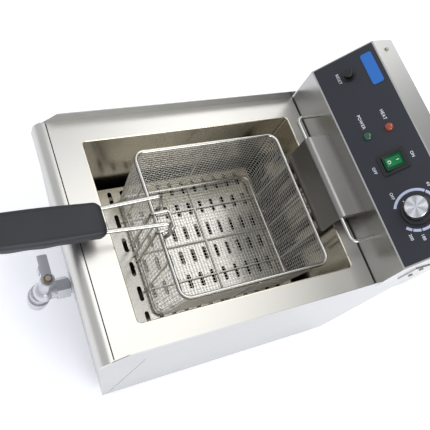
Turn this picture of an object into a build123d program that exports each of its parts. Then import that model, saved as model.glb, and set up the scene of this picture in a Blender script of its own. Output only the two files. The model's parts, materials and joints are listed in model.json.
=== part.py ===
from build123d import *
import math
import os

os.makedirs("parts", exist_ok=True)

# A countertop electric fryer. +Z up, the front (drain tap and basket handle) faces -Y.
# The origin is on the surface it stands on, at the middle of the whole fryer's outline.

# ---- driving dimensions, mm ----
width = 290.0              # over the side walls
deck_z = 280.0             # top of the deck plate
floor_z = 15.0             # underside of the body
sheet = 1.0                # stainless sheet
front_y = -182.0           # where the flat deck turns over into the front roll
head_y = front_y + 356     # front face of the control head
body_back_y = front_y + 430
head_back_y = front_y + 452
upstand = 15.0             # side walls above the deck

roll_radius = 11.0         # rounded front edge of the deck
roll_drop = 22.0           # how far the front edge hangs down
front_top = (front_y - 8, deck_z - roll_drop)
front_foot = (front_y + 44, floor_z)
cheek_y = front_y + 50     # seam between the front panel's cheek and the side wall
seam_gap = 0.7             # open line left at that seam
crease_y = front_y + 4.4   # folded crease in the deck behind the front roll
crease_width = 1.3
head_gap = 1.8             # open line between the deck and the control head

tank_length, tank_width = 291.0, 225.0
tank_front_y = front_y + 40.5
tank_y = tank_front_y + tank_length / 2
tank_floor = 80.0
tank_corner = 4.0          # corner radius of the tank's walls, seen from above
tank_lip = 2.0             # the tank's top edge is this wide, flush with the deck
tank_bend = 1.5            # rounding of its inner edge

drain_z = 92.0
pipe_radius, pipe_bore = 10.0, 7.5
stem_y = front_y - 12      # lever axis of the drain tap
lever_z = 139.0

element_z = 156.0
element_radius = 4.0
riser_y = front_y + 325    # the heating element's upright legs
riser_top_z = deck_z + 17
guard_z = element_z + element_radius + 0.3
guard_length, guard_width = 268.0, 204.0

rim_z = deck_z - 15
rim_wire, frame_wire, thin_wire = 2.5, 2.0, 1.2
rim_front_y, rim_back_y = front_y + 103, front_y + 312
rim_half = 97.0
rim_corner = 13.0          # corner radius of the basket at its rim
floor_half = 87.5
basket_floor_z = deck_z - 115

slope_rise, slope_run = 59.5, 63.0
slope_start_z = deck_z + 57.5
head_top_z = slope_start_z + slope_rise
slope_length = math.hypot(slope_rise, slope_run)
slope_normal = (0, -slope_rise / slope_length, slope_run / slope_length)
panel = Plane(origin=(0, head_y, slope_start_z), x_dir=(1, 0, 0), z_dir=slope_normal)
panel_mid = slope_length / 2
overlay = 1.0              # black plate on the slope

side_view = Plane.YZ       # sketch x is the fryer's Y, sketch y is its Z


def bent_wire(points, bend, radius):
    """Sweep a round wire along straight runs with rounded bends."""
    with BuildLine() as route:
        FilletPolyline(*points, radius=bend)
    with BuildSketch(Plane(origin=route.line @ 0, z_dir=route.line % 0)) as section:
        Circle(radius)
    sweep(section.sketch, path=route.line)


def ring_wire(z, half_width, near_y, far_y, corner, radius):
    """Sweep a round wire round a level rounded rectangle."""
    centre = Location((0, (near_y + far_y) / 2, z))
    with BuildSketch(Plane(centre)) as outline:
        RectangleRounded(2 * half_width, far_y - near_y, corner)
    loop = outline.sketch.face().outer_wire()
    with BuildSketch(Plane(origin=loop @ 0, z_dir=loop % 0)) as section:
        Circle(radius)
    sweep(section.sketch, path=loop)


# ======== body ========
with BuildPart() as body_shell:
    # one sheet bent round both sides and the back
    with BuildSketch(side_view.offset(-width / 2)):
        with BuildLine():
            Polyline(
                (cheek_y, floor_z),
                (cheek_y, deck_z - 43),
                front_top,
                (front_y + 1.5, deck_z - 9),
                (front_y + 1.5, deck_z),
                (front_y + 17, deck_z + upstand),
                (head_y - head_gap, deck_z + upstand),
                (head_y - head_gap, deck_z),
                (body_back_y, deck_z),
                (body_back_y, floor_z),
                close=True,
            )
        make_face()
    extrude(amount=sheet)
    mirror(about=Plane.YZ)
    with Locations((0, body_back_y - sheet, floor_z)):
        Box(width, sheet, deck_z - floor_z, align=(Align.CENTER, Align.MIN, Align.MIN))
body_shell.part.label = "body_shell"
export_step(body_shell.part, "parts/body_shell.step")

with BuildPart() as deck_plate:
    roll_centre_y, roll_centre_z = front_y + 1.5, deck_z - roll_radius
    inner = roll_radius - sheet
    with BuildSketch(side_view):
        with BuildLine():
            Line((body_back_y - sheet, deck_z), (roll_centre_y, deck_z))
            RadiusArc((roll_centre_y, deck_z), (roll_centre_y - roll_radius, roll_centre_z),
                      -roll_radius)
            Polyline(
                (roll_centre_y - roll_radius, roll_centre_z),
                (roll_centre_y - roll_radius, deck_z - roll_drop),
                (roll_centre_y - inner, deck_z - roll_drop),
                (roll_centre_y - inner, roll_centre_z),
            )
            RadiusArc((roll_centre_y - inner, roll_centre_z), (roll_centre_y, deck_z - sheet), inner)
            Polyline(
                (roll_centre_y, deck_z - sheet),
                (body_back_y - sheet, deck_z - sheet),
                (body_back_y - sheet, deck_z),
            )
        make_face()
    extrude(amount=width / 2 - sheet, both=True)
    # the roll's ends are closed flush with the side walls
    for side in (-width / 2, width / 2 - sheet):
        with BuildSketch(side_view.offset(side)):
            with BuildLine():
                RadiusArc((roll_centre_y, deck_z), (roll_centre_y - roll_radius, roll_centre_z),
                          -roll_radius)
                Polyline(
                    (roll_centre_y - roll_radius, roll_centre_z),
                    (roll_centre_y - roll_radius, deck_z - roll_drop),
                    front_top,
                    (roll_centre_y, deck_z - 9),
                    (roll_centre_y, deck_z),
                )
            make_face()
        extrude(amount=sheet)
    with BuildSketch(Plane.XY.offset(deck_z - 2 * sheet)):
        with Locations((0, tank_y)):
            RectangleRounded(tank_width + 2 * tank_lip, tank_length + 2 * tank_lip,
                             tank_corner + tank_lip)
    extrude(amount=3 * sheet, mode=Mode.SUBTRACT)
    with Locations((0, crease_y, deck_z)):
        Box(width - 2 * sheet, crease_width, 1.3 * sheet, mode=Mode.SUBTRACT)
    # an open line along the foot of the control head
    with Locations((0, head_y - head_gap / 2, deck_z)):
        Box(width - 2 * sheet, head_gap, 1.4 * sheet, mode=Mode.SUBTRACT)
deck_plate.part.label = "deck_plate"
export_step(deck_plate.part, "parts/deck_plate.step")

with BuildPart() as front_panel:
    # leans back towards the foot, with a cheek wrapped round each side
    with BuildSketch(side_view):
        with BuildLine():
            Polyline(
                front_top,
                front_foot,
                (front_foot[0] + sheet, front_foot[1]),
                (front_top[0] + 1.2 * sheet, front_top[1] - sheet),
                (front_top[0] + 16, front_top[1] - sheet),
                (front_top[0] + 16, front_top[1]),
                close=True,
            )
        make_face()
    extrude(amount=width / 2 - sheet, both=True)
    for side in (-width / 2, width / 2 - sheet):
        with BuildSketch(side_view.offset(side)):
            with BuildLine():
                Polyline(
                    front_top,
                    (cheek_y - seam_gap, deck_z - 43),
                    (cheek_y - seam_gap, floor_z),
                    front_foot,
                    close=True,
                )
            make_face()
        extrude(amount=sheet)
    with BuildSketch(Plane.XZ.offset(-front_y)):
        with Locations((0, drain_z)):
            Circle(pipe_radius + 1)
    extrude(amount=-60, mode=Mode.SUBTRACT)
front_panel.part.label = "front_panel"
export_step(front_panel.part, "parts/front_panel.step")

tank_depth = deck_z - sheet - tank_floor
floor_bend = 10.0          # rounding between the tank's walls and floor
with BuildPart() as oil_tank:
    with BuildSketch(Plane.XY.offset(deck_z - sheet)):
        with Locations((0, tank_y)):
            RectangleRounded(tank_width + 2 * sheet, tank_length + 2 * sheet, tank_corner + sheet)
    extrude(amount=-tank_depth - sheet)
    fillet(oil_tank.edges().group_by(Axis.Z)[0], radius=floor_bend + sheet)
    # flange under the deck, and a rounded lip flush with it
    with BuildSketch(Plane.XY.offset(deck_z - sheet)):
        with Locations((0, tank_y)):
            Rectangle(tank_width + 16, tank_length + 16)
    extrude(amount=-sheet)
    with BuildSketch(Plane.XY.offset(deck_z)):
        with Locations((0, tank_y)):
            RectangleRounded(tank_width + 2 * tank_lip, tank_length + 2 * tank_lip,
                             tank_corner + tank_lip)
    extrude(amount=-sheet)
    with BuildPart(mode=Mode.PRIVATE) as tank_cavity:
        with BuildSketch(Plane.XY.offset(deck_z)):
            with Locations((0, tank_y)):
                RectangleRounded(tank_width, tank_length, tank_corner)
        extrude(amount=tank_floor - deck_z)
        fillet(tank_cavity.edges().group_by(Axis.Z)[0], radius=floor_bend)
    add(tank_cavity.part, mode=Mode.SUBTRACT)
    fillet(oil_tank.faces().sort_by(Axis.Z)[-1].inner_wires()[0].edges(), radius=tank_bend)
    with BuildSketch(Plane.XZ.offset(-tank_front_y + 3)):
        with Locations((0, drain_z)):
            Circle(pipe_bore)
    extrude(amount=-10, mode=Mode.SUBTRACT)
oil_tank.part.label = "oil_tank"
export_step(oil_tank.part, "parts/oil_tank.step")

foot_places = [(x, front_y + y) for x in (-115, 115) for y in (78, 402)]
with BuildPart() as base_plate:
    plate_front, plate_back = front_y + 46, body_back_y - sheet
    plate_mid = (plate_front + plate_back) / 2
    plate_width, plate_length = width - 2 * sheet, plate_back - plate_front
    with Locations((0, plate_mid, floor_z)):
        Box(plate_width, plate_length, 1.2, align=(Align.CENTER, Align.CENTER, Align.MIN))
    # turned-up edges, spot welded inside the walls
    for side in (-1, 1):
        with Locations((side * (plate_width - 1) / 2, plate_mid, floor_z)):
            Box(1, plate_length, 14, align=(Align.CENTER, Align.CENTER, Align.MIN))
    with Locations(*[(x, y, floor_z) for x, y in foot_places]):
        Cylinder(2.2, 10, mode=Mode.SUBTRACT)
    # cooling slots
    with BuildSketch(Plane.XY.offset(floor_z)):
        with Locations((0, plate_mid)):
            with GridLocations(0, 22, 1, 7):
                SlotOverall(110, 6)
    extrude(amount=1.2, mode=Mode.SUBTRACT)
base_plate.part.label = "base_plate"
export_step(base_plate.part, "parts/base_plate.step")

with BuildPart() as feet:
    with BuildSketch():
        with Locations(*foot_places):
            Circle(12.5)
    extrude(amount=floor_z, taper=-9)
    with Locations(*foot_places):
        Cylinder(4.6, 7, align=(Align.CENTER, Align.CENTER, Align.MIN), mode=Mode.SUBTRACT)
        Cylinder(2.2, floor_z, align=(Align.CENTER, Align.CENTER, Align.MIN), mode=Mode.SUBTRACT)
feet.part.label = "feet"
export_step(feet.part, "parts/feet.step")

with BuildPart() as foot_screws:
    with Locations(*[(x, y, 4) for x, y in foot_places]):
        Cylinder(4.0, 3, align=(Align.CENTER, Align.CENTER, Align.MIN))
        Cylinder(2.0, 16, align=(Align.CENTER, Align.CENTER, Align.MIN))
    fillet(foot_screws.edges().group_by(Axis.Z)[0], radius=0.8)
foot_screws.part.label = "foot_screws"
export_step(foot_screws.part, "parts/foot_screws.step")

# ======== drain tap ========
pipe_axis = Plane(origin=(0, tank_front_y - sheet, drain_z), x_dir=(1, 0, 0), z_dir=(0, -1, 0))
pipe_end_y = front_y + 8
with BuildPart() as drain_pipe:
    with BuildSketch(pipe_axis):
        Circle(pipe_radius)
        Circle(pipe_bore, mode=Mode.SUBTRACT)
    extrude(amount=tank_front_y - sheet - pipe_end_y)
drain_pipe.part.label = "drain_pipe"
export_step(drain_pipe.part, "parts/drain_pipe.step")

lean = math.degrees(math.atan2(front_foot[0] - front_top[0], front_top[1] - front_foot[1]))
panel_y_at_drain = front_top[0] + (front_top[1] - drain_z) * math.tan(math.radians(lean))
lean_normal = (0, -math.cos(math.radians(lean)), -math.sin(math.radians(lean)))
with BuildPart() as drain_washer:
    # round escutcheon lying on the leaning panel
    with BuildSketch(Plane(origin=(0, panel_y_at_drain, drain_z), x_dir=(1, 0, 0), z_dir=lean_normal)):
        Circle(20)
        Circle(pipe_radius + 2.5, mode=Mode.SUBTRACT)
    extrude(amount=2)
    chamfer(drain_washer.edges().filter_by(GeomType.CIRCLE).sort_by(Axis.Y)[0], length=0.7)
drain_washer.part.label = "drain_washer"
export_step(drain_washer.part, "parts/drain_washer.step")

tap_axis = Plane(origin=(0, stem_y, drain_z), x_dir=(1, 0, 0), z_dir=(0, 1, 0))
hex_back = front_y + 22 - stem_y
hex_front = front_y + 4 - stem_y
spout_y = stem_y - 4
spout_bottom = drain_z - 40
ball_radius = 10.0
with BuildPart() as valve_body:
    with BuildSketch(tap_axis.offset(hex_front)):
        RegularPolygon(13, 6, major_radius=False)
    extrude(amount=hex_back - hex_front)
    with BuildSketch(tap_axis):
        Circle(12)
    extrude(amount=hex_front)
    with Locations((0, stem_y, drain_z)):
        Sphere(14.5)
    # stem tower
    with BuildSketch(Plane((0, stem_y, drain_z))):
        Circle(8)
    extrude(amount=28)
    # downward spout with a rolled collar
    with BuildSketch(Plane((0, spout_y, drain_z))):
        Circle(13)
    extrude(amount=spout_bottom - drain_z)
    with BuildSketch(Plane((0, spout_y, drain_z - 15))):
        Circle(15)
    extrude(amount=-8)
    # passages, ball seat and stem hole
    with Locations((0, stem_y, drain_z)):
        Sphere(ball_radius + 0.05, mode=Mode.SUBTRACT)
    with BuildSketch(tap_axis):
        Circle(7)
    extrude(amount=hex_front, mode=Mode.SUBTRACT)
    with BuildSketch(tap_axis.offset(pipe_end_y - stem_y)):
        Circle(pipe_radius)
    extrude(amount=hex_back, mode=Mode.SUBTRACT)
    with BuildSketch(Plane((0, spout_y, spout_bottom))):
        Circle(6.5)
    extrude(amount=drain_z - spout_bottom - 4, mode=Mode.SUBTRACT)
    with BuildSketch(Plane((0, stem_y, drain_z))):
        Circle(3.55)
    extrude(amount=40, mode=Mode.SUBTRACT)
valve_body.part.label = "valve_body"
export_step(valve_body.part, "parts/valve_body.step")

with BuildPart() as valve_ball:
    with Locations((0, stem_y, drain_z)):
        Sphere(ball_radius)
    # the port faces sideways when the tap is shut, and always opens downward
    with BuildSketch(Plane.YZ):
        with Locations((stem_y, drain_z)):
            Circle(5.5)
    extrude(amount=20, mode=Mode.SUBTRACT)
    with BuildSketch(Plane((0, stem_y, drain_z))):
        Circle(5.5)
    extrude(amount=-20, mode=Mode.SUBTRACT)
valve_ball.part.label = "valve_ball"
export_step(valve_ball.part, "parts/valve_ball.step")

with BuildPart() as valve_stem:
    with BuildSketch(Plane((0, stem_y, drain_z + ball_radius))):
        Circle(3.5)
    extrude(amount=lever_z + 3 + 5 - drain_z - ball_radius)
    with BuildPart(mode=Mode.PRIVATE) as seat:
        with Locations((0, stem_y, drain_z)):
            Sphere(ball_radius)
    add(seat.part, mode=Mode.SUBTRACT)
valve_stem.part.label = "valve_stem"
export_step(valve_stem.part, "parts/valve_stem.step")

with BuildPart() as packing_nut:
    with BuildSketch(Plane((0, stem_y, drain_z + 28))):
        RegularPolygon(8.5, 6, major_radius=False)
        Circle(3.6, mode=Mode.SUBTRACT)
    extrude(amount=lever_z - 1 - drain_z - 28)
    chamfer(packing_nut.faces().sort_by(Axis.Z)[-1].outer_wire().edges(), length=0.8)
packing_nut.part.label = "packing_nut"
export_step(packing_nut.part, "parts/packing_nut.step")

with BuildPart() as tap_lever:
    with BuildSketch(Plane((0, stem_y, lever_z))):
        Circle(9)
        with Locations((-17, 0)):
            Rectangle(34, 13)
        Circle(3.5, mode=Mode.SUBTRACT)
    extrude(amount=3)
    fillet(tap_lever.edges().filter_by(Axis.Z).group_by(Axis.X)[0], radius=2)
    # stop tab turned down beside the packing nut
    with Locations((-15, stem_y - 7.2, lever_z - 10)):
        Box(9, 1.6, 13, align=(Align.CENTER, Align.CENTER, Align.MIN))
tap_lever.part.label = "tap_lever"
export_step(tap_lever.part, "parts/tap_lever.step")

with BuildPart() as lever_nut:
    with BuildSketch(Plane((0, stem_y, lever_z + 3))):
        RegularPolygon(5.5, 6, major_radius=False)
        Circle(3.5, mode=Mode.SUBTRACT)
    extrude(amount=4)
    chamfer(lever_nut.faces().sort_by(Axis.Z)[-1].outer_wire().edges(), length=0.6)
lever_nut.part.label = "lever_nut"
export_step(lever_nut.part, "parts/lever_nut.step")

# ======== heating element and its guard ========
outer_leg_x, inner_leg_x, outer_run_x = 50.0, 26.0, 88.0
leg_places = [(x, riser_top_z) for x in (-outer_leg_x, -inner_leg_x, inner_leg_x, outer_leg_x)]
tube_places = [(-9, riser_top_z), (9, riser_top_z)]
leg_end_y = head_y + 14


def element_half(side):
    """One tube: down the back, forward along the side, back along the middle, and up."""
    run_front_y = front_y + 72
    bent_wire(
        [
            (side * outer_leg_x, leg_end_y, riser_top_z),
            (side * outer_leg_x, riser_y, riser_top_z),
            (side * outer_leg_x, riser_y, element_z),
            (side * outer_leg_x, front_y + 300, element_z),
            (side * outer_run_x, front_y + 258, element_z),
            (side * outer_run_x, run_front_y, element_z),
            (side * inner_leg_x, run_front_y, element_z),
            (side * inner_leg_x, riser_y, element_z),
            (side * inner_leg_x, riser_y, riser_top_z),
            (side * inner_leg_x, leg_end_y, riser_top_z),
        ],
        10,
        element_radius,
    )


with BuildPart() as heating_element:
    element_half(-1)
    element_half(1)
heating_element.part.label = "heating_element"
export_step(heating_element.part, "parts/heating_element.step")

strap_z = element_z - element_radius - 1.2
with BuildPart() as element_straps:
    with Locations(*[(0, front_y + y, strap_z) for y in (120, 240)]):
        Box(190, 10, 1.2, align=(Align.CENTER, Align.CENTER, Align.MIN))
element_straps.part.label = "element_straps"
export_step(element_straps.part, "parts/element_straps.step")

bulb_radius = 3.0
bulb_z = strap_z + 1.2 + bulb_radius


def bulb_with_tube(x):
    """A sensor bulb lying on the straps, with its thin tube led back and up to the head."""
    start = Plane(origin=(x, front_y + 110, bulb_z), x_dir=(1, 0, 0), z_dir=(0, 1, 0))
    with BuildSketch(start) as section:
        Circle(bulb_radius)
    extrude(section.sketch, amount=110)
    tube = [
        (x, front_y + 218, bulb_z),
        (x, riser_y, bulb_z),
        (x, riser_y, riser_top_z),
        (x, leg_end_y, riser_top_z),
    ]
    bent_wire(tube, 6, 1.0)


with BuildPart() as thermostat_bulb:
    bulb_with_tube(-9)
thermostat_bulb.part.label = "thermostat_bulb"
export_step(thermostat_bulb.part, "parts/thermostat_bulb.step")

with BuildPart() as limiter_bulb:
    bulb_with_tube(9)
limiter_bulb.part.label = "limiter_bulb"
export_step(limiter_bulb.part, "parts/limiter_bulb.step")

slot_pitch_x, slot_pitch_y = 34.6, 18.0
guard_y = front_y + 46 + guard_length / 2
with BuildPart() as element_guard:
    with BuildSketch(Plane.XY.offset(guard_z)):
        with Locations((0, guard_y)):
            RectangleRounded(guard_width, guard_length, 3)
        with Locations((0, front_y + 57 + 6.5 * slot_pitch_y)):
            with GridLocations(slot_pitch_x, slot_pitch_y, 6, 14):
                SlotOverall(20.5, 5.8, mode=Mode.SUBTRACT)
    extrude(amount=sheet)
    # edges folded down at the sides
    for side in (-1, 1):
        with Locations((side * (guard_width - sheet) / 2, guard_y, guard_z - 12)):
            Box(sheet, guard_length - 8, 12, align=(Align.CENTER, Align.CENTER, Align.MIN))
element_guard.part.label = "element_guard"
export_step(element_guard.part, "parts/element_guard.step")

# ======== basket ========
with BuildPart() as basket_rim:
    ring_wire(rim_z, rim_half, rim_front_y, rim_back_y, rim_corner, rim_wire)
basket_rim.part.label = "basket_rim"
export_step(basket_rim.part, "parts/basket_rim.step")

mesh = 1.2
mesh_top = rim_z - rim_wire
floor_front_y, floor_back_y = rim_front_y - 2, rim_back_y - 3


with BuildPart() as basket_mesh:
    with BuildPart(mode=Mode.PRIVATE) as outer_tub:
        with BuildSketch(Plane((0, (floor_front_y + floor_back_y) / 2, basket_floor_z))):
            RectangleRounded(2 * floor_half, floor_back_y - floor_front_y, rim_corner)
        with BuildSketch(Plane((0, (rim_front_y + rim_back_y) / 2, mesh_top))):
            RectangleRounded(2 * rim_half + 1, rim_back_y - rim_front_y + 1, rim_corner)
        loft()
    with BuildPart(mode=Mode.PRIVATE) as inner_tub:
        with BuildSketch(Plane((0, (floor_front_y + floor_back_y) / 2, basket_floor_z + mesh))):
            RectangleRounded(2 * (floor_half - mesh), floor_back_y - floor_front_y - 2 * mesh,
                             rim_corner - mesh)
        with BuildSketch(Plane((0, (rim_front_y + rim_back_y) / 2, mesh_top))):
            RectangleRounded(2 * (rim_half - mesh) + 1, rim_back_y - rim_front_y + 1 - 2 * mesh,
                             rim_corner - mesh)
        loft()
    add(outer_tub.part)
    add(inner_tub.part, mode=Mode.SUBTRACT)
basket_mesh.part.label = "basket_mesh"
export_step(basket_mesh.part, "parts/basket_mesh.step")

with BuildPart() as basket_floor_frame:
    ring_wire(
        basket_floor_z + mesh + frame_wire + 0.1,
        floor_half - mesh - frame_wire - 0.4,
        floor_front_y + mesh + frame_wire + 0.4,
        floor_back_y - mesh - frame_wire - 0.4,
        rim_corner - 4,
        frame_wire,
    )
basket_floor_frame.part.label = "basket_floor_frame"
export_step(basket_floor_frame.part, "parts/basket_floor_frame.step")

under_z = basket_floor_z - thin_wire - 0.1
wire_gap = thin_wire + 0.4
rim_mid_y = (rim_front_y + rim_back_y) / 2
stay_top_z = mesh_top - 0.2
with BuildPart() as basket_stays:
    # three wires run lengthwise under the mesh and up the front and back walls
    for x in (-50, 0, 50):
        bent_wire(
            [
                (x, rim_front_y - 0.5 - wire_gap, stay_top_z),
                (x, floor_front_y - wire_gap, under_z),
                (x, floor_back_y + wire_gap, under_z),
                (x, rim_back_y + 0.5 + wire_gap, stay_top_z),
            ],
            2,
            thin_wire,
        )
    # one runs across and up the side walls, welded to them where it crosses
    bent_wire(
        [
            (-rim_half - 0.5 - wire_gap, rim_mid_y, stay_top_z),
            (-floor_half - wire_gap, rim_mid_y, under_z),
            (floor_half + wire_gap, rim_mid_y, under_z),
            (rim_half + 0.5 + wire_gap, rim_mid_y, stay_top_z),
        ],
        2,
        thin_wire,
    )
basket_stays.part.label = "basket_stays"
export_step(basket_stays.part, "parts/basket_stays.step")

with BuildPart() as basket_hooks:
    # a bent wire at each side of the back wall, for hanging the basket up to drain
    for side in (-1, 1):
        hook_y = rim_back_y + 0.7 + thin_wire
        bent_wire(
            [
                (side * 62, hook_y - 2.0, rim_z - 72),
                (side * 62, hook_y, rim_z - 6),
                (side * 70, hook_y, rim_z - 6),
                (side * 70, hook_y - 1.0, rim_z - 38),
            ],
            3.4,
            thin_wire,
        )
basket_hooks.part.label = "basket_hooks"
export_step(basket_hooks.part, "parts/basket_hooks.step")

bracket_z = rim_z + rim_wire + frame_wire + 0.1
bracket_half = 12.0
with BuildPart() as handle_bracket:
    # up the front wall, back over the rim and round as a loop inside the basket
    bent_wire(
        [
            (-bracket_half, floor_front_y - frame_wire - 0.3, basket_floor_z + 4),
            (-bracket_half, rim_front_y - rim_wire - frame_wire, bracket_z),
            (-bracket_half, rim_front_y + 18, bracket_z),
            (bracket_half, rim_front_y + 18, bracket_z),
            (bracket_half, rim_front_y - rim_wire - frame_wire, bracket_z),
            (bracket_half, floor_front_y - frame_wire - 0.3, basket_floor_z + 4),
        ],
        4.5,
        frame_wire,
    )
handle_bracket.part.label = "handle_bracket"
export_step(handle_bracket.part, "parts/handle_bracket.step")

# ======== basket handle ========
grip_length, grip_width, grip_thickness = 135.0, 42.0, 19.0
grip_end = (front_y + 27, deck_z + 27)      # end nearest the basket
grip_rise = 7.0                             # degrees, upward to the front
grip_along = (0, -math.cos(math.radians(grip_rise)), math.sin(math.radians(grip_rise)))
grip_plane = Plane(origin=(0, *grip_end), x_dir=(1, 0, 0), z_dir=grip_along)
handle_wire = 2.5


def along_grip(distance, x):
    """A point inside the grip, on its middle line, shifted sideways."""
    return (x, grip_end[0] + grip_along[1] * distance, grip_end[1] + grip_along[2] * distance)


with BuildPart() as handle_wires:
    # two rods leave the grip, pass over the rim and turn down behind it
    for side in (-1, 1):
        bent_wire(
            [
                along_grip(60, side * 14),
                along_grip(-4, side * 14),
                (side * 17.5, rim_front_y - 2, deck_z + 24),
                (side * 17.5, rim_front_y + 9, rim_z + 8),
                (side * 17.5, rim_front_y + rim_wire + handle_wire + 0.6, rim_z - 5),
            ],
            4,
            handle_wire,
        )
handle_wires.part.label = "handle_wires"
export_step(handle_wires.part, "parts/handle_wires.step")

with BuildPart() as handle_grip:
    with BuildSketch(grip_plane):
        RectangleRounded(grip_width, grip_thickness, 6)
    extrude(amount=grip_length)
    fillet(handle_grip.faces().sort_by(Axis.Y)[0].outer_wire().edges(), radius=5)
    fillet(handle_grip.faces().sort_by(Axis.Y)[-1].outer_wire().edges(), radius=4)
    # shallow finger hollows along the underside
    for step in range(4):
        with BuildSketch(Plane(origin=along_grip(28 + 27 * step, -grip_width), z_dir=(1, 0, 0),
                               x_dir=grip_along)):
            with Locations((0, 40)):
                Circle(32.5)
        extrude(amount=2 * grip_width, mode=Mode.SUBTRACT)
    with BuildSketch(grip_plane):
        with Locations((-14, 0), (14, 0)):
            Circle(handle_wire)
    extrude(amount=60, mode=Mode.SUBTRACT)
handle_grip.part.label = "handle_grip"
export_step(handle_grip.part, "parts/handle_grip.step")

# ======== control head ========
skirt_y = body_back_y + 1          # the head's back drops down behind the body
skirt_z = deck_z - 57
reset_place = (29.5 - width / 2, 41)
green_place = (118 - width / 2, 29)
orange_place = (118.5 - width / 2, 57.5)
switch_place = (162.5 - width / 2, 43.5)
knob_place = (229.5 - width / 2, 43.5)
badge_place = (35.5 - width / 2, 71)
collar_radius, button_radius, lamp_radius = 9.0, 6.3, 5.5
bezel_width, bezel_height = 28.0, 34.0
rocker_width, rocker_height = 19.6, 25.0


hanger_half, hanger_radius = 91.0, 2.4
hanger_y, hanger_z = front_y + 320.6, deck_z + 33.5
top_screw_places = (-130, 130)


def panel_holes(low, high):
    """Cut the panel's holes between two heights measured out from the housing's slope."""
    with BuildSketch(panel.offset(low)) as holes:
        with Locations(reset_place):
            Circle(4.5)
        with Locations(green_place, orange_place):
            Circle(4.3)
        with Locations(switch_place):
            Rectangle(bezel_width - 4, bezel_height - 4)
        with Locations(knob_place):
            Circle(5)
    extrude(holes.sketch, amount=high - low, mode=Mode.SUBTRACT)


with BuildPart() as control_housing:
    # sheet wrapped over the front, the slope and the top, with closed ends
    with BuildSketch(side_view):
        with BuildLine():
            Polyline(
                (head_y, deck_z),
                (head_y, slope_start_z),
                (head_y + slope_run, head_top_z),
                (head_back_y, head_top_z),
                (head_back_y, skirt_z),
                (skirt_y, skirt_z),
                (skirt_y, deck_z),
                close=True,
            )
        make_face()
    extrude(amount=width / 2, both=True)
    with BuildSketch(side_view):
        with BuildLine():
            Polyline(
                (head_y + sheet, deck_z - 1),
                (head_y + sheet, slope_start_z - 0.4),
                (head_y + slope_run + 0.4, head_top_z - sheet),
                (head_back_y + 1, head_top_z - sheet),
                (head_back_y + 1, skirt_z - 1),
                (skirt_y + sheet, skirt_z - 1),
                (skirt_y + sheet, deck_z - 1),
                close=True,
            )
        make_face()
    extrude(amount=width / 2 - sheet, both=True, mode=Mode.SUBTRACT)
    panel_holes(-4, 4)
    # ways in for the element's legs and the sensor tubes
    with BuildSketch(Plane.XZ.offset(-head_y + 2)):
        with Locations(*leg_places):
            Circle(element_radius + 0.3)
        with Locations(*tube_places):
            Circle(1.5)
        with Locations((-hanger_half, hanger_z), (hanger_half, hanger_z)):
            Circle(hanger_radius + 0.05)
    extrude(amount=-6, mode=Mode.SUBTRACT)
    with Locations(*[(x, head_back_y - 16, head_top_z) for x in top_screw_places]):
        Cylinder(1.55, 6, mode=Mode.SUBTRACT)
control_housing.part.label = "control_housing"
export_step(control_housing.part, "parts/control_housing.step")

with BuildPart() as head_floor:
    floor_depth = skirt_y - head_y - sheet
    with Locations((0, head_y + sheet + floor_depth / 2, deck_z)):
        Box(width - 2 * sheet, floor_depth, sheet, align=(Align.CENTER, Align.CENTER, Align.MIN))
head_floor.part.label = "head_floor"
export_step(head_floor.part, "parts/head_floor.step")

gland_x, gland_z = -95.0, deck_z - 28
cover_screw_places = [(x, z) for x in (-128, 128) for z in (skirt_z + 14, head_top_z - 14)]
with BuildPart() as back_cover:
    with BuildSketch(side_view):
        with BuildLine():
            Polyline(
                (head_back_y, head_top_z - sheet),
                (head_back_y, skirt_z),
                (skirt_y + sheet, skirt_z),
                (skirt_y + sheet, skirt_z + sheet),
                (head_back_y - sheet, skirt_z + sheet),
                (head_back_y - sheet, head_top_z - sheet),
                close=True,
            )
        make_face()
    extrude(amount=width / 2 - sheet, both=True)
    with BuildSketch(Plane.XZ.offset(-head_back_y - 2)):
        with Locations((gland_x, gland_z)):
            Circle(8)
        with Locations(*cover_screw_places):
            Circle(2)
        # cooling slots
        with Locations((30, deck_z + 62)):
            with GridLocations(0, 10, 1, 5):
                SlotOverall(90, 4)
    extrude(amount=5, mode=Mode.SUBTRACT)
back_cover.part.label = "back_cover"
export_step(back_cover.part, "parts/back_cover.step")


def pan_screw(plane, head_radius, shank_radius, length):
    """A pan-head screw: the head stands on the plane, the shank goes in behind it."""
    with BuildSketch(plane) as head:
        Circle(head_radius)
    extrude(head.sketch, amount=1.6)
    with BuildSketch(plane) as shank:
        Circle(shank_radius)
    extrude(shank.sketch, amount=-length)


with BuildPart() as cover_screws:
    for x, z in cover_screw_places:
        pan_screw(Plane(origin=(x, head_back_y, z), z_dir=(0, 1, 0)), 3.5, 1.9, 8)
cover_screws.part.label = "cover_screws"
export_step(cover_screws.part, "parts/cover_screws.step")

with BuildPart() as top_screws:
    for x in top_screw_places:
        pan_screw(Plane((x, head_back_y - 16, head_top_z)), 2.6, 1.5, 6)
top_screws.part.label = "top_screws"
export_step(top_screws.part, "parts/top_screws.step")

bracket_y, bracket_mid_z = head_y + 46, deck_z + 25
with BuildPart() as side_plates:
    # a small fixing plate on each end of the head
    for side in (-1, 1):
        with Locations((side * (width / 2 + 0.75), bracket_y, bracket_mid_z)):
            Box(1.5, 30, 38)
    with BuildSketch(Plane.YZ.offset(-width)):
        with Locations(*[(bracket_y, bracket_mid_z + z) for z in (-11, 11)]):
            Circle(1.65)
    extrude(amount=2 * width, mode=Mode.SUBTRACT)
side_plates.part.label = "side_plates"
export_step(side_plates.part, "parts/side_plates.step")

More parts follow.
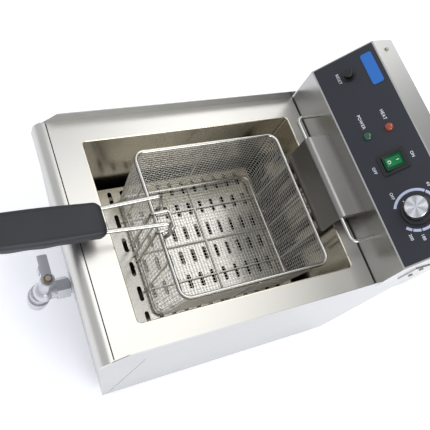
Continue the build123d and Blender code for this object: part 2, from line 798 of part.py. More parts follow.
with BuildPart() as side_screws:
    for side in (-1, 1):
        for z in (bracket_mid_z - 11, bracket_mid_z + 11):
            outside = (side * (width / 2 + 1.5), bracket_y, z)
            pan_screw(Plane(origin=outside, z_dir=(side, 0, 0)), 3.0, 1.6, 1.5)
side_screws.part.label = "side_screws"
export_step(side_screws.part, "parts/side_screws.step")

gland_axis = Plane(origin=(gland_x, head_back_y, gland_z), z_dir=(0, 1, 0))
gland_reach = 18.0
with BuildPart() as cord_gland:
    with BuildSketch(gland_axis):
        RegularPolygon(11, 6, major_radius=False)
    extrude(amount=6)
    with BuildSketch(gland_axis.offset(6)):
        Circle(9.5)
    extrude(amount=gland_reach - 6)
    fillet(cord_gland.faces().sort_by(Axis.Y)[-1].edges(), radius=3)
    with BuildSketch(gland_axis):
        Circle(7.9)
    extrude(amount=-12)
    with BuildSketch(gland_axis.offset(gland_reach)):
        Circle(4.2)
    extrude(amount=-40, mode=Mode.SUBTRACT)
cord_gland.part.label = "cord_gland"
export_step(cord_gland.part, "parts/cord_gland.step")

with BuildPart() as gland_nut:
    with BuildSketch(gland_axis.offset(-sheet)):
        RegularPolygon(11, 6, major_radius=False)
        Circle(7.95, mode=Mode.SUBTRACT)
    extrude(amount=-4)
gland_nut.part.label = "gland_nut"
export_step(gland_nut.part, "parts/gland_nut.step")

with BuildPart() as panel_overlay:
    with BuildSketch(panel):
        with Locations((0, panel_mid)):
            RectangleRounded(width - 4, slope_length - 4, 1.5)
    extrude(amount=overlay)
    panel_holes(-1, 4)
panel_overlay.part.label = "panel_overlay"
export_step(panel_overlay.part, "parts/panel_overlay.step")

with BuildPart() as badge_plate:
    with BuildSketch(panel.offset(overlay)):
        with Locations(badge_place):
            RectangleRounded(46, 15, 3)
    extrude(amount=0.8)
badge_plate.part.label = "badge_plate"
export_step(badge_plate.part, "parts/badge_plate.step")

# ---- riser cover and hanger wire in front of the head ----
cover_half, cover_sheet = 57.5, 0.8
with BuildPart() as hanger_wire:
    bent_wire(
        [
            (-hanger_half, head_y + 8, hanger_z),
            (-hanger_half, hanger_y, hanger_z),
            (hanger_half, hanger_y, hanger_z),
            (hanger_half, head_y + 8, hanger_z),
        ],
        9,
        hanger_radius,
    )
hanger_wire.part.label = "hanger_wire"
export_step(hanger_wire.part, "parts/hanger_wire.step")

roll = 6.7                             # inside radius of the fold; the wire lies in its front
fold_y, fold_z = hanger_y + 3.6, hanger_z - 1.5
with BuildPart() as riser_cover:
    # a sheet folded over the hanger wire, with an apron hanging in front of the element's legs
    with BuildSketch(side_view):
        with BuildLine():
            Polyline(
                (fold_y, fold_z + roll),
                (head_y, fold_z + roll),
                (head_y, fold_z + roll + cover_sheet),
                (fold_y, fold_z + roll + cover_sheet),
            )
            RadiusArc((fold_y, fold_z + roll + cover_sheet),
                      (fold_y - roll - cover_sheet, fold_z), -roll - cover_sheet)
            Polyline(
                (fold_y - roll - cover_sheet, fold_z),
                (fold_y - roll - cover_sheet, deck_z - 13),
                (fold_y - roll, deck_z - 13),
                (fold_y - roll, fold_z),
            )
            RadiusArc((fold_y - roll, fold_z), (fold_y, fold_z + roll), roll)
        make_face()
    extrude(amount=cover_half, both=True)
    fillet(riser_cover.edges().filter_by(Axis.Y).group_by(Axis.Z)[0], radius=9)
riser_cover.part.label = "riser_cover"
export_step(riser_cover.part, "parts/riser_cover.step")

with BuildPart() as element_flange:
    # plate inside the head that clamps the element's four legs
    with Locations((0, head_y + sheet + 1.5, riser_top_z)):
        Box(124, 3, 26)
    with BuildSketch(Plane.XZ.offset(-head_y)):
        with Locations(*leg_places):
            Circle(element_radius)
        with Locations(*tube_places):
            Circle(1.5)
    extrude(amount=-10, mode=Mode.SUBTRACT)
element_flange.part.label = "element_flange"
export_step(element_flange.part, "parts/element_flange.step")

# ---- rotary thermostat ----
skirt_radius, skirt_height = 19.5, 6.0
cap_radius, knob_height = 13.5, 20.0
knob_base = overlay + 0.4
shaft_radius = 3.0
with BuildPart() as thermostat_body:
    with BuildSketch(panel.offset(-sheet)):
        with Locations(knob_place):
            RectangleRounded(36, 34, 3)
    extrude(amount=-24)
    with BuildSketch(panel.offset(-sheet)):
        with Locations(knob_place):
            Circle(4.6)
    extrude(amount=3.2)
    with BuildSketch(panel.offset(3)):
        with Locations(knob_place):
            Circle(shaft_radius + 0.05)
    extrude(amount=-20, mode=Mode.SUBTRACT)
thermostat_body.part.label = "thermostat_body"
export_step(thermostat_body.part, "parts/thermostat_body.step")

with BuildPart() as thermostat_shaft:
    with BuildSketch(panel.offset(-15)):
        with Locations(knob_place):
            Circle(shaft_radius)
    extrude(amount=15 + knob_height - 4)
thermostat_shaft.part.label = "thermostat_shaft"
export_step(thermostat_shaft.part, "parts/thermostat_shaft.step")

with BuildPart() as knob_body:
    with BuildSketch(panel.offset(knob_base)):
        with Locations(knob_place):
            Circle(skirt_radius)
    extrude(amount=skirt_height, taper=12)
    with BuildSketch(panel.offset(knob_base)):
        with Locations(knob_place):
            Circle(cap_radius + 1.5)
    extrude(amount=knob_height - knob_base, taper=2)
    with BuildSketch(panel.offset(knob_base)):
        with Locations(knob_place):
            Circle(6)
    extrude(amount=2.5, mode=Mode.SUBTRACT)
    with BuildSketch(panel.offset(knob_base)):
        with Locations(knob_place):
            Circle(shaft_radius)
    extrude(amount=knob_height - 4 - knob_base, mode=Mode.SUBTRACT)
knob_body.part.label = "knob_body"
export_step(knob_body.part, "parts/knob_body.step")

with BuildPart() as knob_cap:
    with BuildSketch(panel.offset(knob_height)):
        with Locations(knob_place):
            Circle(cap_radius)
    extrude(amount=1.4)
    chamfer(knob_cap.faces().sort_by(Axis.Z)[-1].edges(), length=0.5)
knob_cap.part.label = "knob_cap"
export_step(knob_cap.part, "parts/knob_cap.step")

# ---- reset button of the overheat limiter ----
button_height = 9.0
with BuildPart() as reset_collar:
    with BuildSketch(panel.offset(overlay)):
        with Locations(reset_place):
            Circle(collar_radius)
            Circle(3.1, mode=Mode.SUBTRACT)
    extrude(amount=2)
reset_collar.part.label = "reset_collar"
export_step(reset_collar.part, "parts/reset_collar.step")

with BuildPart() as reset_button:
    with BuildSketch(panel.offset(overlay + 2 + 2.6)):
        with Locations(reset_place):
            Circle(button_radius)
    extrude(amount=button_height - 4.6)
    fillet(reset_button.faces().filter_by(lambda f: f.normal_at().dot(panel.z_dir) > 0.99)
           .edges(), radius=1)
    with BuildSketch(panel.offset(overlay + 2 + 2.6)):
        with Locations(reset_place):
            Circle(2.9)
    extrude(amount=-16)
reset_button.part.label = "reset_button"
export_step(reset_button.part, "parts/reset_button.step")

with BuildPart() as limiter_body:
    with BuildSketch(panel.offset(-sheet)):
        with Locations(reset_place):
            Circle(12)
    extrude(amount=-20)
    with BuildSketch(panel.offset(-sheet)):
        with Locations(reset_place):
            Circle(3.1)
    extrude(amount=-14, mode=Mode.SUBTRACT)
limiter_body.part.label = "limiter_body"
export_step(limiter_body.part, "parts/limiter_body.step")

# ---- indicator lamps ----
for name, place in (("power_lamp", green_place), ("heat_lamp", orange_place)):
    with BuildPart() as lamp:
        with BuildSketch(panel.offset(overlay)):
            with Locations(place):
                Circle(lamp_radius)
        extrude(amount=4)
        fillet(lamp.faces().filter_by(lambda f: f.normal_at().dot(panel.z_dir) > 0.99).edges(), radius=2)
        with BuildSketch(panel.offset(overlay)):
            with Locations(place):
                Circle(4.2)
        extrude(amount=-22)
    lamp.part.label = name
    export_step(lamp.part, f"parts/{name}.step")

# ---- rocker switch ----
pivot_height = overlay + 1.5
press_angle = 10.0             # the rocker rests tipped to its on side
with BuildPart() as switch_body:
    with BuildSketch(panel.offset(overlay)):
        with Locations(switch_place):
            RectangleRounded(bezel_width, bezel_height, 1.5)
    extrude(amount=2.2)
    with BuildSketch(panel.offset(overlay)):
        with Locations(switch_place):
            Rectangle(bezel_width - 4.2, bezel_height - 4.2)
    extrude(amount=-24)
    with BuildSketch(panel.offset(overlay + 3)):
        with Locations(switch_place):
            Rectangle(rocker_width + 0.6, rocker_height + 0.8)
    extrude(amount=-15, mode=Mode.SUBTRACT)
switch_body.part.label = "switch_body"
export_step(switch_body.part, "parts/switch_body.step")

rocker_centre = panel.from_local_coords(Vector(*switch_place, pivot_height))
rocker_plane = Plane(origin=rocker_centre, x_dir=(1, 0, 0), z_dir=panel.z_dir)
rocker_plane = rocker_plane.rotated((-press_angle, 0, 0))
rocker_side = Plane(origin=rocker_centre, x_dir=rocker_plane.y_dir, z_dir=(1, 0, 0))
with BuildPart() as rocker:
    with BuildSketch(rocker_side):
        with BuildLine():
            half = rocker_height / 2 - 0.2
            Line((-half, -2), (-half, 3.2))
            ThreePointArc((-half, 3.2), (0, 1.8), (half, 3.2))
            Polyline((half, 3.2), (half, -2), (6, -7), (-6, -7), (-half, -2))
        make_face()
    extrude(amount=rocker_width / 2, both=True)
rocker.part.label = "rocker"
export_step(rocker.part, "parts/rocker.step")

# ---- inside the head ----
with BuildPart() as contactor:
    with Locations((-60, head_y + 60, deck_z + sheet)):
        Box(46, 44, 42, align=(Align.CENTER, Align.CENTER, Align.MIN))
contactor.part.label = "contactor"
export_step(contactor.part, "parts/contactor.step")

with BuildPart() as terminal_block:
    with Locations((-5, head_y + 66, deck_z + sheet)):
        Box(44, 18, 16, align=(Align.CENTER, Align.CENTER, Align.MIN))
    with Locations(*[(x, head_y + 66, deck_z + sheet + 16) for x in (-20, -10, 0, 10)]):
        Hole(2.4, 8)
terminal_block.part.label = "terminal_block"
export_step(terminal_block.part, "parts/terminal_block.step")
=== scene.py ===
import json
import math

import bpy
from mathutils import Matrix, Vector


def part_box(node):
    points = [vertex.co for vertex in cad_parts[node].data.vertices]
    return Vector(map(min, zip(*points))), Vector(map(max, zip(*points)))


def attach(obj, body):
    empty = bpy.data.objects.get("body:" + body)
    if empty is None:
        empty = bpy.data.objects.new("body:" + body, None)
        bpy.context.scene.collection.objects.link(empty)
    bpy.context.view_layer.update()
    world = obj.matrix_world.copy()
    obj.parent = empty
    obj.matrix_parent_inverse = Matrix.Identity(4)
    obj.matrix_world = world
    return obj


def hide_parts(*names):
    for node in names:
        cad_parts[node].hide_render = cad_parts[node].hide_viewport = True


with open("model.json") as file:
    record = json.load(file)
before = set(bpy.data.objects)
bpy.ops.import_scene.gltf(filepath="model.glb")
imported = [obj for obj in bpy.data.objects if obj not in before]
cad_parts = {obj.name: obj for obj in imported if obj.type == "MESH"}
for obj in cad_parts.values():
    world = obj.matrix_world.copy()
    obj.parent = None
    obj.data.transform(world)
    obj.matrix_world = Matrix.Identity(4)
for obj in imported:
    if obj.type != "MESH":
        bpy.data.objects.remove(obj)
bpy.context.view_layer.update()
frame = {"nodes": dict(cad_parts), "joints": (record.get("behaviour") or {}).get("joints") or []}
bpy.ops.object.select_all(action="DESELECT")

MM = 0.001

# ---- places taken from the frame ----
joints = {joint["name"]: joint for joint in frame["joints"]}
knob_centre = Vector(joints["knob_turn"]["pos_m"])
outward = -Vector(joints["knob_turn"]["axis"]).normalized()   # out of the sloping panel
across = Vector((1, 0, 0))
up_slope = outward.cross(across)
knob_joint_height = 10 * MM                                   # above the housing's slope
panel_origin = knob_centre - outward * knob_joint_height      # under the knob, on the housing
deck_low, deck_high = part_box("deck_plate")


def panel_frame(u, v, height, tilt=0.0):
    """Matrix that carries a piece drawn flat at the origin to a place on the panel, in mm."""
    place = panel_origin + across * u * MM + up_slope * v * MM + outward * height * MM
    turn = Matrix((across, up_slope, outward)).transposed().to_4x4()
    return Matrix.Translation(place) @ turn @ Matrix.Rotation(math.radians(tilt), 4, "X")


# ---- colours and nodes ----
def colour(code, share=1.0):
    """An sRGB hex value as the linear colour that a shader takes, darkened to a share of it."""
    channels = [int(code[i:i + 2], 16) / 255 for i in (0, 2, 4)]
    linear = [c / 12.92 if c <= 0.04045 else ((c + 0.055) / 1.055) ** 2.4 for c in channels]
    return (*(c * share for c in linear), 1.0)


def add_node(tree, kind, settings=None, links=None):
    """Add one node, set its sockets or properties, and link its inputs."""
    node = tree.nodes.new(kind)
    for name, value in (settings or {}).items():
        if isinstance(name, int) or name in node.inputs:
            node.inputs[name].default_value = value
        else:
            setattr(node, name, value)
    for name, source in (links or {}).items():
        tree.links.new(source, node.inputs[name])
    return node


def new_material(name):
    """A material with its plain shader and its Object coordinates."""
    material = bpy.data.materials.new(name)
    material.use_nodes = True
    tree = material.node_tree
    shader = tree.nodes["Principled BSDF"]
    place = add_node(tree, "ShaderNodeTexCoord").outputs["Object"]
    return material, tree, shader, place


def socket_name(name):
    """base_color as the shader names it: Base Color."""
    return name.replace("_", " ").title().replace("Ior", "IOR")


def set_shader(shader, **sockets):
    """Set the shader's own sockets."""
    for name, value in sockets.items():
        shader.inputs[socket_name(name)].default_value = value


def feed_shader(tree, shader, **sources):
    """Link patterns to the shader's sockets."""
    for name, source in sources.items():
        tree.links.new(source, shader.inputs[socket_name(name)])


def brushed_steel(name, tint, grain, rough, bump=0.02, smudge=0.03):
    """Stainless sheet, 304, brushed: fine straight scratches along one axis.

    The scratches spread each reflection across the grain. They are about 0.3 mm apart on
    the real sheet, and are drawn 1.2 mm apart so that they show. Wide faint smudges change
    the shine from place to place.
    """
    scratch_gap, scratch_length, scratch_depth = 1.2 * MM, 90 * MM, 0.4 * MM
    smudges_per_metre, shine_spread, shadow_share = 9.0, 0.03, 0.96
    material, tree, shader, place = new_material(name)
    set_shader(shader, metallic=1.0)
    stretch = [1 / (scratch_length if axis == grain else scratch_gap) for axis in "XYZ"]
    lines = add_node(tree, "ShaderNodeMapping", {"Scale": stretch}, {"Vector": place})
    scratches = add_node(tree, "ShaderNodeTexNoise", {"Scale": 1.0, "Detail": 3.0},
                         {"Vector": lines.outputs["Vector"]})
    patches = add_node(tree, "ShaderNodeTexNoise", {"Scale": smudges_per_metre, "Detail": 2.0},
                       {"Vector": place})
    base = add_node(tree, "ShaderNodeMapRange",
                    {"To Min": rough - shine_spread, "To Max": rough + shine_spread},
                    {"Value": scratches.outputs["Fac"]})
    worn = add_node(tree, "ShaderNodeMapRange", {"To Min": -smudge, "To Max": smudge},
                    {"Value": patches.outputs["Fac"]})
    total = add_node(tree, "ShaderNodeMath", {"operation": "ADD"},
                     {0: base.outputs["Result"], 1: worn.outputs["Result"]})
    shade = add_node(tree, "ShaderNodeMix",
                     {"data_type": "RGBA", 6: colour(tint, shadow_share), 7: colour(tint)},
                     {0: scratches.outputs["Fac"]})
    relief = add_node(tree, "ShaderNodeBump", {"Strength": bump, "Distance": scratch_depth},
                      {"Height": scratches.outputs["Fac"]})
    feed_shader(tree, shader, base_color=shade.outputs[2], roughness=total.outputs["Value"],
                normal=relief.outputs["Normal"])
    return material


def bright_metal(name, tint, rough, grit, bump=0.03):
    """Plated or polished metal: a clear reflection broken by drawing marks or casting grit.

    The grit is the size in metres of the marks, which are also a little darker.
    """
    grit_depth, shadow_share = 0.3 * MM, 0.82
    material, tree, shader, place = new_material(name)
    set_shader(shader, metallic=1.0)
    grains = add_node(tree, "ShaderNodeTexNoise", {"Scale": 1 / grit, "Detail": 4.0},
                      {"Vector": place})
    shine = add_node(tree, "ShaderNodeMapRange", {"To Min": rough * 0.7, "To Max": rough * 1.3},
                     {"Value": grains.outputs["Fac"]})
    shade = add_node(tree, "ShaderNodeMix",
                     {"data_type": "RGBA", 6: colour(tint, shadow_share), 7: colour(tint)},
                     {0: grains.outputs["Fac"]})
    relief = add_node(tree, "ShaderNodeBump", {"Strength": bump, "Distance": grit_depth},
                      {"Height": grains.outputs["Fac"]})
    feed_shader(tree, shader, base_color=shade.outputs[2], roughness=shine.outputs["Result"],
                normal=relief.outputs["Normal"])
    return material


def moulded_plastic(name, tint, rough, grain, bump=0.15, coat=0.0):
    """Moulded plastic: a fine eroded texture, grain metres wide, breaks its highlight up.

    Patches polished by handling are glossier than the rest.
    """
    pit_depth, shadow_share, patches_per_metre, shine_spread = 0.2 * MM, 0.8, 25.0, 0.08
    material, tree, shader, place = new_material(name)
    set_shader(shader, ior=1.5, coat_weight=coat, coat_roughness=0.08)
    pits = add_node(tree, "ShaderNodeTexNoise", {"Scale": 1 / grain, "Detail": 2.0},
                    {"Vector": place})
    handled = add_node(tree, "ShaderNodeTexNoise", {"Scale": patches_per_metre, "Detail": 2.0},
                       {"Vector": place})
    shine = add_node(tree, "ShaderNodeMapRange",
                     {"To Min": rough - shine_spread, "To Max": rough + shine_spread},
                     {"Value": handled.outputs["Fac"]})
    shade = add_node(tree, "ShaderNodeMix",
                     {"data_type": "RGBA", 6: colour(tint, shadow_share), 7: colour(tint)},
                     {0: pits.outputs["Fac"]})
    relief = add_node(tree, "ShaderNodeBump", {"Strength": bump, "Distance": pit_depth},
                      {"Height": pits.outputs["Fac"]})
    feed_shader(tree, shader, base_color=shade.outputs[2], roughness=shine.outputs["Result"],
                normal=relief.outputs["Normal"])
    return material


def lens_plastic(name, tint, glow, power, rough=0.12):
    """Tinted polycarbonate: a faint light in it, broken into cells 1.4 mm wide.

    A polished lens has a clear coat and a sharp highlight, a satin one has neither.
    """
    cells_per_metre = 700.0
    polished = rough < 0.2
    material, tree, shader, place = new_material(name)
    cells = add_node(tree, "ShaderNodeTexVoronoi", {"Scale": cells_per_metre}, {"Vector": place})
    shade = add_node(tree, "ShaderNodeMix",
                     {"data_type": "RGBA", 6: colour(tint), 7: colour(glow)},
                     {0: cells.outputs["Distance"]})
    feed_shader(tree, shader, base_color=shade.outputs[2])
    set_shader(shader, ior=1.58, roughness=rough, coat_weight=0.6 if polished else 0.0,
               coat_roughness=0.04, specular_ior_level=0.5 if polished else 0.2,
               emission_color=colour(glow), emission_strength=power)
    return material


def spun_aluminium(name, tint, painted_shade, centre, axis_turn):
    """Aluminium disc faced on a lathe: its rings, 0.5 mm apart, fan the highlight out in wedges.

    Its six pale wedges are also painted into its colour as painted highlights, with painted shade
    between them, and they turn with it.
    """
    rings_scale, ring_depth, painted_wedges, painted_darkest = 640.0, 0.2 * MM, 6, 0.45
    material, tree, shader, place = new_material(name)
    set_shader(shader, metallic=1.0, roughness=0.22)
    flat = add_node(tree, "ShaderNodeMapping",
                    {"vector_type": "TEXTURE", "Location": centre, "Rotation": axis_turn},
                    {"Vector": place})
    rings = add_node(tree, "ShaderNodeTexWave",
                     {"wave_type": "RINGS", "rings_direction": "Z", "Scale": rings_scale,
                      "Distortion": 0.6, "Detail": 1.0},
                     {"Vector": flat.outputs["Vector"]})
    fan = add_node(tree, "ShaderNodeTexGradient", {"gradient_type": "RADIAL"},
                   {"Vector": flat.outputs["Vector"]})
    # painted highlights: the colour swings six times round the disc between pale and painted
    # shade
    wedge = add_node(tree, "ShaderNodeMath", {"operation": "MULTIPLY", 1: 2 * math.pi * painted_wedges},
                     {0: fan.outputs["Fac"]})
    swing = add_node(tree, "ShaderNodeMath", {"operation": "SINE"}, {0: wedge.outputs["Value"]})
    painted_level = add_node(tree, "ShaderNodeMapRange",
                     {"From Min": -1.0, "From Max": 1.0, "To Min": painted_darkest, "To Max": 1.0},
                     {"Value": swing.outputs["Value"]})
    shade = add_node(tree, "ShaderNodeMix",
                     {"data_type": "RGBA", 6: colour(painted_shade), 7: colour(tint)},
                     {0: painted_level.outputs["Result"]})
    relief = add_node(tree, "ShaderNodeBump", {"Strength": 0.25, "Distance": ring_depth},
                      {"Height": rings.outputs["Fac"]})
    feed_shader(tree, shader, base_color=shade.outputs[2], normal=relief.outputs["Normal"])
    return material


def stain_below(material, shade_and_stain, deepest_z, plain_z):
    """Darken a material below a height, fading out up to a second height."""
    tree = material.node_tree
    shader = tree.nodes["Principled BSDF"]
    plain = shader.inputs["Base Color"].links[0].from_socket
    height = add_node(tree, "ShaderNodeSeparateXYZ", None,
                      {0: add_node(tree, "ShaderNodeTexCoord").outputs["Object"]})
    fade = add_node(tree, "ShaderNodeMapRange", {"From Min": deepest_z, "From Max": plain_z},
                     {"Value": height.outputs["Z"]})
    # the darker colour is painted shade under the guard, with oil stain in it
    shade_mix = add_node(tree, "ShaderNodeMix", {"data_type": "RGBA", 6: colour(shade_and_stain)},
                       {0: fade.outputs["Result"], 7: plain})
    feed_shader(tree, shader, base_color=shade_mix.outputs[2])


# ---- finishes ----
# 304 stainless, brushed along each sheet's length: soft streaked reflections
deck_steel = brushed_steel("deck_stainless_brushed", "d0cec8", "Y", 0.34)
# the walls' tint is darker than the deck's: painted shade where the light from the right falls on
# them
wall_steel = brushed_steel("wall_stainless_brushed", "bcbcbb", "Y", 0.30)
head_steel = brushed_steel("head_stainless_brushed", "c4c3c0", "X", 0.30, bump=0.008)
# deep-drawn tank: warmer and shinier, streaked up its sides by the press
tank_steel = brushed_steel("tank_stainless_drawn", "dad3c2", "Z", 0.20, bump=0.05, smudge=0.05)
# below the guard the well is painted dark brown: painted shade under the guard, with oil stain in
# it
stain_below(tank_steel, "3b362d", 130 * MM, 175 * MM)
# pressed plate over the element: bright and even
guard_steel = brushed_steel("guard_stainless_pressed", "dddbd4", "Y", 0.24)
# folded cover of the riser: dull, its tint darker than the deck's as painted shade
cover_steel = brushed_steel("cover_stainless_brushed", "94928f", "X", 0.34, bump=0.01)
# drawn wire, electropolished: bright, nearly a mirror, and the thin mesh wire softer
basket_wire = bright_metal("basket_wire_electropolished", "cfcdc8", 0.22, 4 * MM)
mesh_wire = bright_metal("mesh_wire_stainless", "f0eee8", 0.34, 2 * MM)
# element's sheath, tinted brown by heat in patches
tube_steel = bright_metal("element_tube_heat_tinted", "8b8378", 0.33, 6 * MM)
# nickel-plated brass casting: satin, with sand grit under the plating
tap_nickel = bright_metal("tap_nickel_plated", "d8d8dd", 0.34, 1.8 * MM, bump=0.12)
# bare brass, tarnished brown, and zinc-plated screws, yellowish grey
brass = bright_metal("nut_brass_tarnished", "9c8455", 0.34, 1.5 * MM, bump=0.06)
screw_zinc = bright_metal("screw_zinc_plated", "a8a392", 0.28, 1.5 * MM)
# dyed anodised plate: blue, with a metal's streaked shine
badge_blue = brushed_steel("badge_anodised_aluminium", "4a86dc", "X", 0.30)
# phenolic grip: nearly black, matt. Nylon cases: black and glossier, or grey
grip_black = moulded_plastic("grip_phenolic_black", "202229", 0.52, 0.6 * MM)
case_black = moulded_plastic("case_nylon_black", "141416", 0.30, 0.7 * MM, bump=0.06, coat=0.2)
part_grey = moulded_plastic("part_nylon_grey", "6b6d70", 0.45, 0.8 * MM)
# polycarbonate sheet on the panel: blue-black, satin, nearly smooth
panel_black = moulded_plastic("panel_polycarbonate_black", "262932", 0.46, 0.9 * MM, bump=0.05)
# moulded rubber: black and matt. Glazed steatite: off-white with a soft gloss
foot_rubber = moulded_plastic("foot_rubber_black", "17171a", 0.70, 0.9 * MM, bump=0.25)
steatite = moulded_plastic("insulator_steatite_glazed", "e4e0d6", 0.35, 1.2 * MM, bump=0.05,
                           coat=0.3)
# screen-printed ink: flat and even, white or pale blue
print_white = moulded_plastic("print_ink_white", "eef0f8", 0.45, 0.5 * MM, bump=0.02)
scale_ink = moulded_plastic("print_ink_pale_blue", "ccd4ee", 0.45, 0.5 * MM, bump=0.02)
# painted shadow in the deck's open lines: a black, dead matt strip
joint_shade = moulded_plastic("seam_painted_shadow", "15151a", 0.75, 1.0 * MM)
# tinted polycarbonate: polished lamp lenses, and a satin rocker lit faintly by its window
green_lens = lens_plastic("lens_polycarbonate_green", "003a26", "005838", 0.01)
orange_lens = lens_plastic("lens_polycarbonate_orange", "7c2c0c", "a04018", 0.02)
rocker_green = lens_plastic("rocker_polycarbonate_green", "01351f", "01402a", 0.02, 0.55)
window_green = lens_plastic("window_polycarbonate_green", "01612f", "027a42", 0.10, 0.55)
# faced aluminium disc on the knob: pale wedges that fan out from its middle, painted highlights
# in its colour
slope_tilt = math.atan2(up_slope.z, up_slope.y)
disc_aluminium = spun_aluminium("disc_aluminium_spun", "f2f3f6", "8a8b90", panel_origin,
                                (slope_tilt, 0, 0))

cad_finishes = {
    deck_steel: "deck_plate",
    wall_steel: "body_shell front_panel base_plate side_plates",
    head_steel: "control_housing head_floor back_cover element_flange",
    cover_steel: "riser_cover",
    tank_steel: "oil_tank",
    guard_steel: "element_guard element_straps",
    mesh_wire: "basket_stays",
    basket_wire: "basket_rim basket_floor_frame basket_hooks handle_bracket "
                 "handle_wires hanger_wire",
    tube_steel: "heating_element thermostat_bulb limiter_bulb",
    tap_nickel: "drain_pipe drain_washer valve_body packing_nut valve_ball valve_stem tap_lever",
    screw_zinc: "foot_screws cover_screws top_screws side_screws thermostat_shaft",
    brass: "lever_nut",
    case_black: "cord_gland gland_nut reset_collar reset_button switch_body",
    panel_black: "panel_overlay",
    badge_blue: "badge_plate",
    part_grey: "contactor",
    foot_rubber: "feet",
    steatite: "thermostat_body limiter_body terminal_block",
}
for finish, names in cad_finishes.items():
    for name in names.split():
        node = frame["nodes"][name]
        node.data.materials.clear()
        node.data.materials.append(finish)


# ---- making pieces ----
def pick(piece):
    """Select one piece alone and make it active."""
    bpy.ops.object.select_all(action="DESELECT")
    piece.select_set(True)
    bpy.context.view_layer.objects.active = piece


def settle(piece, matrix=None):
    """Apply the piece's place, so that its object sits at the origin."""
    pick(piece)
    if matrix is not None:
        piece.matrix_world = matrix
    bpy.ops.object.transform_apply(location=True, rotation=True, scale=True)
    return piece


def dress(piece, finish, body, slot, *stands_for):
    """Give a piece its material, its body and the nodes it stands for. Its slot is not used."""
    piece.data.materials.clear()
    piece.data.materials.append(finish)
    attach(piece, body)
    if stands_for:
        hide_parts(*stands_for)
    return piece


def join_as(name, pieces):
    """Join pieces into one."""
    pick(pieces[0])
    for piece in pieces:
        piece.select_set(True)
    bpy.ops.object.join()
    joined = bpy.context.object
    joined.name = name
    return joined


def soften_edges(piece, width, segments, least_angle=30):
    """Bevel the edges that are sharper than an angle."""
    edge = piece.modifiers.new("edge", "BEVEL")
    edge.width = width * MM
    edge.segments = segments
    edge.angle_limit = math.radians(least_angle)
    bpy.ops.object.modifier_apply(modifier="edge")


def rounded_bar(name, long, wide, thick, edge_width):
    """A bar of a size in mm with softened edges, centred on the origin."""
    bpy.ops.mesh.primitive_cube_add(size=1)
    bar = bpy.context.object
    bar.name = name
    bar.scale = (long * MM, wide * MM, thick * MM)
    bpy.ops.object.transform_apply(scale=True)
    soften_edges(bar, edge_width, 2)
    return bar


def turned(name, profile, steps, matrix):
    """A piece turned on a lathe: a profile of (radius, height) in mm, spun about Z."""
    bpy.ops.object.select_all(action="DESELECT")
    bpy.ops.mesh.primitive_plane_add(size=1 * MM, calc_uvs=False)
    piece = bpy.context.object
    piece.name = name
    bpy.ops.object.mode_set(mode="EDIT")
    # one point, drawn out along the profile
    bpy.ops.mesh.select_all(action="SELECT")
    bpy.ops.mesh.merge(type="CENTER")
    radius, height = profile[0]
    bpy.ops.transform.translate(value=(radius * MM, 0, height * MM))
    for next_radius, next_height in profile[1:]:
        step = ((next_radius - radius) * MM, 0, (next_height - height) * MM)
        bpy.ops.mesh.extrude_region_move(TRANSFORM_OT_translate={"value": step})
        radius, height = next_radius, next_height
    bpy.ops.mesh.select_all(action="SELECT")
    bpy.ops.mesh.spin(steps=steps, angle=2 * math.pi, center=(0, 0, 0), axis=(0, 0, 1))
    bpy.ops.mesh.select_all(action="SELECT")
    bpy.ops.mesh.remove_doubles(threshold=0.002 * MM)
    bpy.ops.mesh.normals_make_consistent(inside=False)
    bpy.ops.object.mode_set(mode="OBJECT")
    bpy.ops.object.shade_smooth_by_angle(angle=math.radians(35))
    return settle(piece, matrix)


def wires(name, runs, radius):
    """Wires along lists of points, as one mesh. Their section is square, enough for fine wire."""
    curve = bpy.data.curves.new(name, "CURVE")
    curve.dimensions = "3D"
    curve.bevel_depth = radius
    curve.bevel_resolution = 0
    curve.use_fill_caps = True
    for points, closed in runs:
        spline = curve.splines.new("POLY")
        spline.points.add(len(points) - 1)
        for point, place in zip(spline.points, points):
            point.co = (*place, 1)
        spline.use_cyclic_u = closed
    piece = bpy.data.objects.new(name, curve)
    bpy.context.scene.collection.objects.link(piece)
    pick(piece)
    bpy.ops.object.convert(target="MESH")
    bpy.ops.object.shade_smooth()
    return settle(bpy.context.view_layer.objects.active)


def lettering(text, size, bold, thick, spacing=1.0):
    """Flat letters as a mesh, centred on the origin, with sizes in mm."""
    bpy.ops.object.text_add()
    letters = bpy.context.object.data
    letters.body = text
    letters.size = size * MM
    letters.align_x = letters.align_y = "CENTER"
    letters.space_character = spacing
    letters.offset = bold * MM
    letters.extrude = thick * MM
    bpy.ops.object.convert(target="MESH")
    return bpy.context.object


